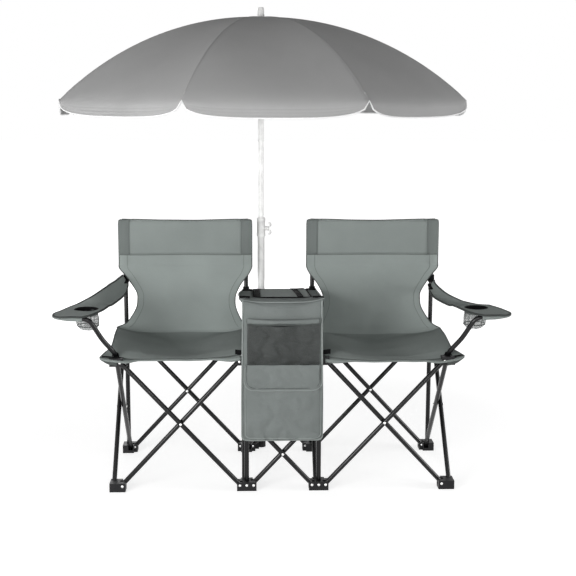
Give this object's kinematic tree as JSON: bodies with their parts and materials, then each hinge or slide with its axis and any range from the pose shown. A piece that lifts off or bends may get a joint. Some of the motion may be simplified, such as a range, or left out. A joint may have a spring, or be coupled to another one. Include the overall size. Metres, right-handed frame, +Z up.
{
  "type": "folding double camp chair",
  "caption": "Folding double camp chair with a cooler-table and hanging organiser between its seats and a shade umbrella on a telescoping pole behind.",
  "frame": {"origin": "on the ground, under the umbrella's pole from front to back and under the middle of the whole width", "axes": "+X to the right seen from the front, +Y to the back, +Z up"},
  "size_m": [1.5182, 1.4046, 1.63],
  "materials": {
    "frame_steel": "glossy black powder coat",
    "moulding": "fine moulded texture, satin black",
    "white_steel": "white paint, semi-gloss",
    "sling_cloth": "coated polyester oxford weave, grey",
    "bag_cloth": "coated polyester oxford weave, grey, black webbing",
    "mesh_cloth": "open polyester mesh, dark grey",
    "canopy_cloth": "thin coated polyester, neutral grey"
  },
  "bodies": {
    "column_back_2": {"foot_back_2": "moulding", "upright_back_2": "frame_steel", "pole_clip": "moulding", "sling_left": "sling_cloth", "cooler_bag": "bag_cloth"},
    "cross_back_left_b": {"cross_back_left_b": "frame_steel"},
    "cross_back_left_a": {"cross_back_left_a": "frame_steel"},
    "column_back_1": {"foot_back_1": "moulding", "upright_back_1": "frame_steel"},
    "slider_back_1": {"slider_back_1": "moulding"},
    "slider_back_2": {"slider_back_2": "moulding"},
    "cross_back_table_a": {"cross_back_table_a": "frame_steel"},
    "cross_back_table_b": {"cross_back_table_b": "frame_steel"},
    "column_back_3": {"foot_back_3": "moulding", "upright_back_3": "frame_steel", "sling_right": "sling_cloth"},
    "lower_slider_back_3": {"lower_slider_back_3": "moulding"},
    "lower_slider_back_2": {"lower_slider_back_2": "moulding"},
    "cross_back_right_a": {"cross_back_right_a": "frame_steel"},
    "cross_back_right_b": {"cross_back_right_b": "frame_steel"},
    "column_back_4": {"foot_back_4": "moulding", "upright_back_4": "frame_steel"},
    "slider_back_4": {"slider_back_4": "moulding"},
    "slider_back_3": {"slider_back_3": "moulding"},
    "side_inner_left_b": {"side_inner_left_b": "frame_steel"},
    "side_inner_left_a": {"side_inner_left_a": "frame_steel"},
    "column_front_2": {"foot_front_2": "moulding", "post_front_2": "frame_steel"},
    "slider_front_2": {"slider_front_2": "moulding"},
    "cross_front_left_b": {"cross_front_left_b": "frame_steel"},
    "cross_front_left_a": {"cross_front_left_a": "frame_steel"},
    "foot_front_1": {"foot_front_1": "moulding"},
    "hub_front_1": {"hub_front_1": "moulding"},
    "cross_front_table_a": {"cross_front_table_a": "frame_steel"},
    "cross_front_table_b": {"cross_front_table_b": "frame_steel"},
    "column_front_3": {"foot_front_3": "moulding", "post_front_3": "frame_steel"},
    "lower_slider_front_3": {"lower_slider_front_3": "moulding"},
    "lower_slider_front_2": {"lower_slider_front_2": "moulding"},
    "cross_front_right_a": {"cross_front_right_a": "frame_steel"},
    "cross_front_right_b": {"cross_front_right_b": "frame_steel"},
    "foot_front_4": {"foot_front_4": "moulding"},
    "hub_front_4": {"hub_front_4": "moulding"},
    "slider_front_3": {"slider_front_3": "moulding"},
    "arm_tube_left": {"arm_tube_left": "frame_steel", "cup_holder_left": "mesh_cloth", "armrest_left": "bag_cloth"},
    "side_brace_left": {"side_brace_left": "frame_steel"},
    "arm_tube_right": {"arm_tube_right": "frame_steel", "cup_holder_right": "mesh_cloth", "armrest_right": "bag_cloth"},
    "side_brace_right": {"side_brace_right": "frame_steel"},
    "side_inner_right_b": {"side_inner_right_b": "frame_steel"},
    "side_inner_right_a": {"side_inner_right_a": "frame_steel"},
    "lower_pole": {"lower_pole": "white_steel"},
    "umbrella": {"upper_pole": "white_steel", "canopy": "canopy_cloth", "rib_frame": "white_steel"},
    "clamp_knob": {"clamp_knob": "white_steel"},
    "cooler_lid": {"cooler_lid": "bag_cloth"}
  },
  "joints": [
    {"name": "fold", "type": "hinge", "parent": "column_back_2", "child": "cross_back_left_b", "pos_m": [-0.13562, -0.0415, 0.02], "axis": [0, 1, 0], "range_deg": [0, 36], "deforming": ["sling_left", "sling_right", "armrest_left", "armrest_right", "cooler_bag", "cooler_lid"]},
    {"name": "cross_back_left_a_turn", "type": "hinge", "parent": "cross_back_left_b", "child": "cross_back_left_a", "pos_m": [-0.33312, -0.0415, 0.233], "axis": [0, 1, 0], "range_deg": [-72, 0]},
    {"name": "column_back_1_turn", "type": "hinge", "parent": "cross_back_left_a", "child": "column_back_1", "pos_m": [-0.53062, -0.0415, 0.02], "axis": [0, 1, 0], "range_deg": [0, 36]},
    {"name": "slider_back_1_turn", "type": "hinge", "parent": "cross_back_left_b", "child": "slider_back_1", "pos_m": [-0.53062, -0.0415, 0.446], "axis": [0, 1, 0], "range_deg": [-36, 0]},
    {"name": "slider_back_2_turn", "type": "hinge", "parent": "cross_back_left_a", "child": "slider_back_2", "pos_m": [-0.13562, -0.0415, 0.446], "axis": [0, 1, 0], "range_deg": [0, 36]},
    {"name": "cross_back_table_a_turn", "type": "hinge", "parent": "column_back_2", "child": "cross_back_table_a", "pos_m": [-0.08962, -0.0415, 0.02], "axis": [0, 1, 0], "range_deg": [-36, 0]},
    {"name": "cross_back_table_b_turn", "type": "hinge", "parent": "cross_back_table_a", "child": "cross_back_table_b", "pos_m": [0.00913, -0.0415, 0.1265], "axis": [0, 1, 0], "range_deg": [0, 72]},
    {"name": "column_back_3_turn", "type": "hinge", "parent": "cross_back_table_b", "child": "column_back_3", "pos_m": [0.10788, -0.0415, 0.02], "axis": [0, 1, 0], "range_deg": [-36, 0]},
    {"name": "lower_slider_back_3_turn", "type": "hinge", "parent": "cross_back_table_a", "child": "lower_slider_back_3", "pos_m": [0.10788, -0.0415, 0.233], "axis": [0, 1, 0], "range_deg": [0, 36]},
    {"name": "lower_slider_back_2_turn", "type": "hinge", "parent": "cross_back_table_b", "child": "lower_slider_back_2", "pos_m": [-0.08962, -0.0415, 0.233], "axis": [0, 1, 0], "range_deg": [-36, 0]},
    {"name": "cross_back_right_a_turn", "type": "hinge", "parent": "column_back_3", "child": "cross_back_right_a", "pos_m": [0.15388, -0.0415, 0.02], "axis": [0, 1, 0], "range_deg": [-36, 0]},
    {"name": "cross_back_right_b_turn", "type": "hinge", "parent": "cross_back_right_a", "child": "cross_back_right_b", "pos_m": [0.35138, -0.0415, 0.233], "axis": [0, 1, 0], "range_deg": [0, 72]},
    {"name": "column_back_4_turn", "type": "hinge", "parent": "cross_back_right_b", "child": "column_back_4", "pos_m": [0.54888, -0.0415, 0.02], "axis": [0, 1, 0], "range_deg": [-36, 0]},
    {"name": "slider_back_4_turn", "type": "hinge", "parent": "cross_back_right_a", "child": "slider_back_4", "pos_m": [0.54888, -0.0415, 0.446], "axis": [0, 1, 0], "range_deg": [0, 36]},
    {"name": "slider_back_3_turn", "type": "hinge", "parent": "cross_back_right_b", "child": "slider_back_3", "pos_m": [0.15388, -0.0415, 0.446], "axis": [0, 1, 0], "range_deg": [-36, 0]},
    {"name": "side_inner_left_b_turn", "type": "hinge", "parent": "column_back_2", "child": "side_inner_left_b", "pos_m": [-0.11262, -0.0645, 0.02], "axis": [1, 0, 0], "range_deg": [-36, 0]},
    {"name": "side_inner_left_a_turn", "type": "hinge", "parent": "side_inner_left_b", "child": "side_inner_left_a", "pos_m": [-0.11262, -0.262, 0.233], "axis": [1, 0, 0], "range_deg": [0, 72]},
    {"name": "column_front_2_turn", "type": "hinge", "parent": "side_inner_left_a", "child": "column_front_2", "pos_m": [-0.11262, -0.4595, 0.02], "axis": [1, 0, 0], "range_deg": [-36, 0]},
    {"name": "slider_front_2_turn", "type": "hinge", "parent": "side_inner_left_b", "child": "slider_front_2", "pos_m": [-0.11262, -0.4595, 0.446], "axis": [1, 0, 0], "range_deg": [0, 36]},
    {"name": "cross_front_left_b_turn", "type": "hinge", "parent": "column_front_2", "child": "cross_front_left_b", "pos_m": [-0.13562, -0.4825, 0.02], "axis": [0, 1, 0], "range_deg": [0, 36]},
    {"name": "cross_front_left_a_turn", "type": "hinge", "parent": "cross_front_left_b", "child": "cross_front_left_a", "pos_m": [-0.33312, -0.4825, 0.233], "axis": [0, 1, 0], "range_deg": [-72, 0]},
    {"name": "foot_front_1_turn", "type": "hinge", "parent": "cross_front_left_a", "child": "foot_front_1", "pos_m": [-0.53062, -0.4825, 0.02], "axis": [0, 1, 0], "range_deg": [0, 36]},
    {"name": "hub_front_1_turn", "type": "hinge", "parent": "cross_front_left_b", "child": "hub_front_1", "pos_m": [-0.53062, -0.4825, 0.446], "axis": [0, 1, 0], "range_deg": [-36, 0]},
    {"name": "cross_front_table_a_turn", "type": "hinge", "parent": "column_front_2", "child": "cross_front_table_a", "pos_m": [-0.08962, -0.4825, 0.02], "axis": [0, 1, 0], "range_deg": [-36, 0]},
    {"name": "cross_front_table_b_turn", "type": "hinge", "parent": "cross_front_table_a", "child": "cross_front_table_b", "pos_m": [0.00913, -0.4825, 0.1265], "axis": [0, 1, 0], "range_deg": [0, 72]},
    {"name": "column_front_3_turn", "type": "hinge", "parent": "cross_front_table_b", "child": "column_front_3", "pos_m": [0.10788, -0.4825, 0.02], "axis": [0, 1, 0], "range_deg": [-36, 0]},
    {"name": "lower_slider_front_3_turn", "type": "hinge", "parent": "cross_front_table_a", "child": "lower_slider_front_3", "pos_m": [0.10788, -0.4825, 0.233], "axis": [0, 1, 0], "range_deg": [0, 36]},
    {"name": "lower_slider_front_2_turn", "type": "hinge", "parent": "cross_front_table_b", "child": "lower_slider_front_2", "pos_m": [-0.08962, -0.4825, 0.233], "axis": [0, 1, 0], "range_deg": [-36, 0]},
    {"name": "cross_front_right_a_turn", "type": "hinge", "parent": "column_front_3", "child": "cross_front_right_a", "pos_m": [0.15388, -0.4825, 0.02], "axis": [0, 1, 0], "range_deg": [-36, 0]},
    {"name": "cross_front_right_b_turn", "type": "hinge", "parent": "cross_front_right_a", "child": "cross_front_right_b", "pos_m": [0.35138, -0.4825, 0.233], "axis": [0, 1, 0], "range_deg": [0, 72]},
    {"name": "foot_front_4_turn", "type": "hinge", "parent": "cross_front_right_b", "child": "foot_front_4", "pos_m": [0.54888, -0.4825, 0.02], "axis": [0, 1, 0], "range_deg": [-36, 0]},
    {"name": "hub_front_4_turn", "type": "hinge", "parent": "cross_front_right_a", "child": "hub_front_4", "pos_m": [0.54888, -0.4825, 0.446], "axis": [0, 1, 0], "range_deg": [0, 36]},
    {"name": "slider_front_3_turn", "type": "hinge", "parent": "cross_front_right_b", "child": "slider_front_3", "pos_m": [0.15388, -0.4825, 0.446], "axis": [0, 1, 0], "range_deg": [-36, 0]},
    {"name": "arm_tube_left_turn", "type": "hinge", "parent": "column_back_1", "child": "arm_tube_left", "pos_m": [-0.55362, -0.0645, 0.02], "axis": [1, 0, 0], "range_deg": [-36, 0]},
    {"name": "side_brace_left_turn", "type": "hinge", "parent": "arm_tube_left", "child": "side_brace_left", "pos_m": [-0.55362, -0.262, 0.233], "axis": [1, 0, 0], "range_deg": [0, 72]},
    {"name": "arm_tube_right_turn", "type": "hinge", "parent": "column_back_4", "child": "arm_tube_right", "pos_m": [0.57188, -0.0645, 0.02], "axis": [1, 0, 0], "range_deg": [-36, 0]},
    {"name": "side_brace_right_turn", "type": "hinge", "parent": "arm_tube_right", "child": "side_brace_right", "pos_m": [0.57188, -0.262, 0.233], "axis": [1, 0, 0], "range_deg": [0, 72]},
    {"name": "side_inner_right_b_turn", "type": "hinge", "parent": "column_back_3", "child": "side_inner_right_b", "pos_m": [0.13089, -0.0645, 0.02], "axis": [1, 0, 0], "range_deg": [-36, 0]},
    {"name": "side_inner_right_a_turn", "type": "hinge", "parent": "side_inner_right_b", "child": "side_inner_right_a", "pos_m": [0.13089, -0.262, 0.233], "axis": [1, 0, 0], "range_deg": [0, 72]},
    {"name": "umbrella_lift", "type": "slide", "parent": "column_back_2", "child": "lower_pole", "axis": [0, 0, 1], "range_m": [0, 0.66]},
    {"name": "pole_telescope", "type": "slide", "parent": "lower_pole", "child": "umbrella", "axis": [0, 0, 1], "range_m": [-0.3, 0.2]},
    {"name": "knob_turn", "type": "hinge", "parent": "lower_pole", "child": "clamp_knob", "pos_m": [-0.05686, 0, 0.835], "axis": [1, 0, 0], "range_deg": [-180, 180]},
    {"name": "lid_hinge", "type": "hinge", "parent": "column_back_2", "child": "cooler_lid", "pos_m": [0.00913, -0.097, 0.61969], "axis": [-1, 0, 0], "range_deg": [0, 95]}
  ],
  "couplings": [
    {"joint": "cross_back_left_a_turn", "follows": "fold", "ratio": -2},
    {"joint": "column_back_1_turn", "follows": "fold", "ratio": 1},
    {"joint": "slider_back_1_turn", "follows": "fold", "ratio": -1},
    {"joint": "slider_back_2_turn", "follows": "fold", "ratio": 1},
    {"joint": "cross_back_table_a_turn", "follows": "fold", "ratio": -1},
    {"joint": "cross_back_table_b_turn", "follows": "fold", "ratio": 2},
    {"joint": "column_back_3_turn", "follows": "fold", "ratio": -1},
    {"joint": "lower_slider_back_3_turn", "follows": "fold", "ratio": 1},
    {"joint": "lower_slider_back_2_turn", "follows": "fold", "ratio": -1},
    {"joint": "cross_back_right_a_turn", "follows": "fold", "ratio": -1},
    {"joint": "cross_back_right_b_turn", "follows": "fold", "ratio": 2},
    {"joint": "column_back_4_turn", "follows": "fold", "ratio": -1},
    {"joint": "slider_back_4_turn", "follows": "fold", "ratio": 1},
    {"joint": "slider_back_3_turn", "follows": "fold", "ratio": -1},
    {"joint": "side_inner_left_b_turn", "follows": "fold", "ratio": -1},
    {"joint": "side_inner_left_a_turn", "follows": "fold", "ratio": 2},
    {"joint": "column_front_2_turn", "follows": "fold", "ratio": -1},
    {"joint": "slider_front_2_turn", "follows": "fold", "ratio": 1},
    {"joint": "cross_front_left_b_turn", "follows": "fold", "ratio": 1},
    {"joint": "cross_front_left_a_turn", "follows": "fold", "ratio": -2},
    {"joint": "foot_front_1_turn", "follows": "fold", "ratio": 1},
    {"joint": "hub_front_1_turn", "follows": "fold", "ratio": -1},
    {"joint": "cross_front_table_a_turn", "follows": "fold", "ratio": -1},
    {"joint": "cross_front_table_b_turn", "follows": "fold", "ratio": 2},
    {"joint": "column_front_3_turn", "follows": "fold", "ratio": -1},
    {"joint": "lower_slider_front_3_turn", "follows": "fold", "ratio": 1},
    {"joint": "lower_slider_front_2_turn", "follows": "fold", "ratio": -1},
    {"joint": "cross_front_right_a_turn", "follows": "fold", "ratio": -1},
    {"joint": "cross_front_right_b_turn", "follows": "fold", "ratio": 2},
    {"joint": "foot_front_4_turn", "follows": "fold", "ratio": -1},
    {"joint": "hub_front_4_turn", "follows": "fold", "ratio": 1},
    {"joint": "slider_front_3_turn", "follows": "fold", "ratio": -1},
    {"joint": "arm_tube_left_turn", "follows": "fold", "ratio": -1},
    {"joint": "side_brace_left_turn", "follows": "fold", "ratio": 2},
    {"joint": "arm_tube_right_turn", "follows": "fold", "ratio": -1},
    {"joint": "side_brace_right_turn", "follows": "fold", "ratio": 2},
    {"joint": "side_inner_right_b_turn", "follows": "fold", "ratio": -1},
    {"joint": "side_inner_right_a_turn", "follows": "fold", "ratio": 2}
  ]
}
